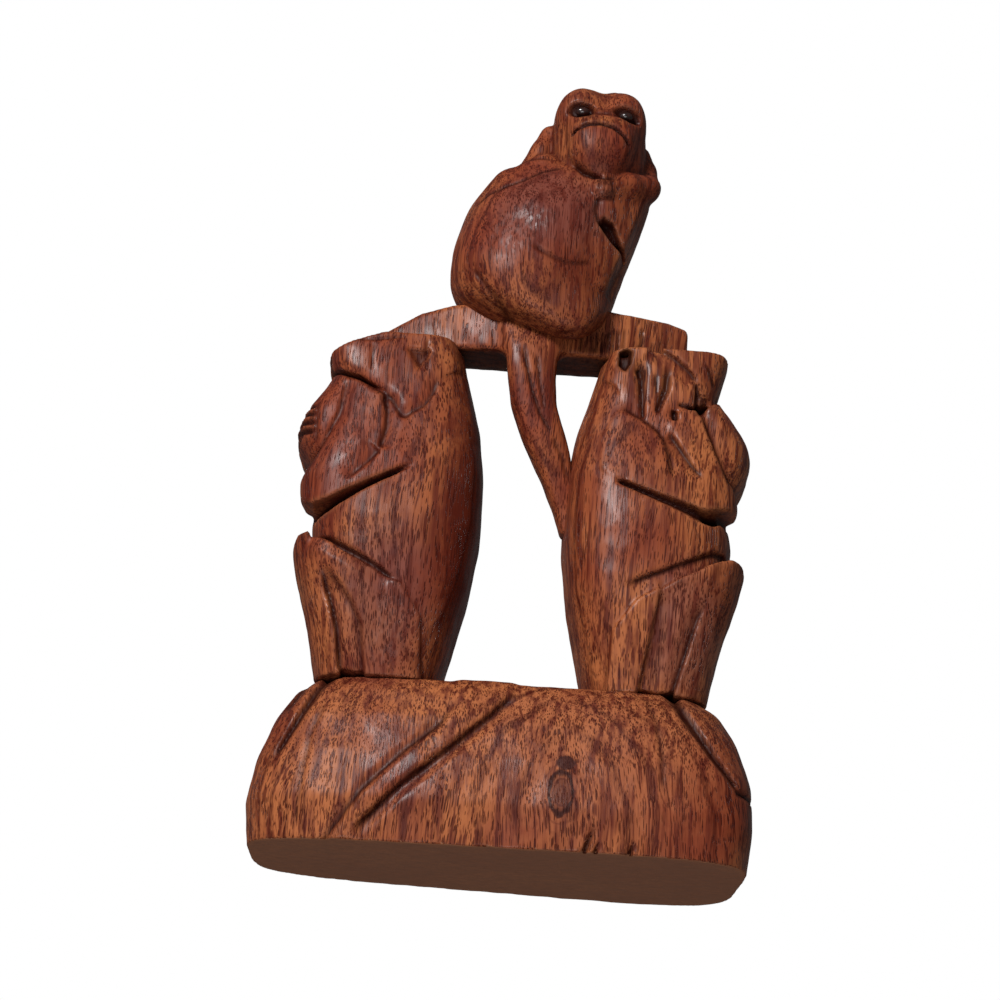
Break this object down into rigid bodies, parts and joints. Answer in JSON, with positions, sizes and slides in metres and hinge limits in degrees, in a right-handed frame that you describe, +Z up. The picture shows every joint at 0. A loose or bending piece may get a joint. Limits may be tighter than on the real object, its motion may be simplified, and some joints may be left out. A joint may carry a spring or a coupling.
{
  "type": "monkey figurine",
  "caption": "Carved hardwood ornament: monkeys crouch back to back on a half log and carry a perch on their heads, where another monkey sits with its tail hanging down.",
  "frame": {"origin": "centre of the bounding box's bottom face, on the flat underside of the half log", "axes": "+Z up, the front of the carving towards -Y, +X towards the right crouching monkey as seen from the front"},
  "size_m": [0.1195, 0.0598, 0.2095],
  "materials": {
    "varnished_hardwood": "glossy clear varnish over brown-stained hardwood, with darker stain in the carved creases",
    "eye_stain": "carved eye stained almost black under the varnish"
  },
  "bodies": {
    "root": {"half_log_base": "varnished_hardwood", "left_monkey_far_arm": "varnished_hardwood", "left_monkey_far_foot": "varnished_hardwood", "left_monkey_far_leg": "varnished_hardwood", "left_monkey_head": "varnished_hardwood", "left_monkey_muzzle": "varnished_hardwood", "left_monkey_near_arm": "varnished_hardwood", "left_monkey_near_foot": "varnished_hardwood", "left_monkey_near_leg": "varnished_hardwood", "left_monkey_tail": "varnished_hardwood", "left_monkey_torso": "varnished_hardwood", "perch": "varnished_hardwood", "right_monkey_far_arm": "varnished_hardwood", "right_monkey_far_foot": "varnished_hardwood", "right_monkey_far_leg": "varnished_hardwood", "right_monkey_head": "varnished_hardwood", "right_monkey_muzzle": "varnished_hardwood", "right_monkey_near_arm": "varnished_hardwood", "right_monkey_near_foot": "varnished_hardwood", "right_monkey_near_leg": "varnished_hardwood", "right_monkey_torso": "varnished_hardwood", "top_monkey_head": "varnished_hardwood", "top_monkey_left_arm": "varnished_hardwood", "top_monkey_left_brow": "varnished_hardwood", "top_monkey_left_eye": "eye_stain", "top_monkey_left_leg": "varnished_hardwood", "top_monkey_muzzle": "varnished_hardwood", "top_monkey_right_arm": "varnished_hardwood", "top_monkey_right_brow": "varnished_hardwood", "top_monkey_right_eye": "eye_stain", "top_monkey_right_leg": "varnished_hardwood", "top_monkey_tail": "varnished_hardwood", "top_monkey_torso": "varnished_hardwood"}
  },
  "joints": []
}
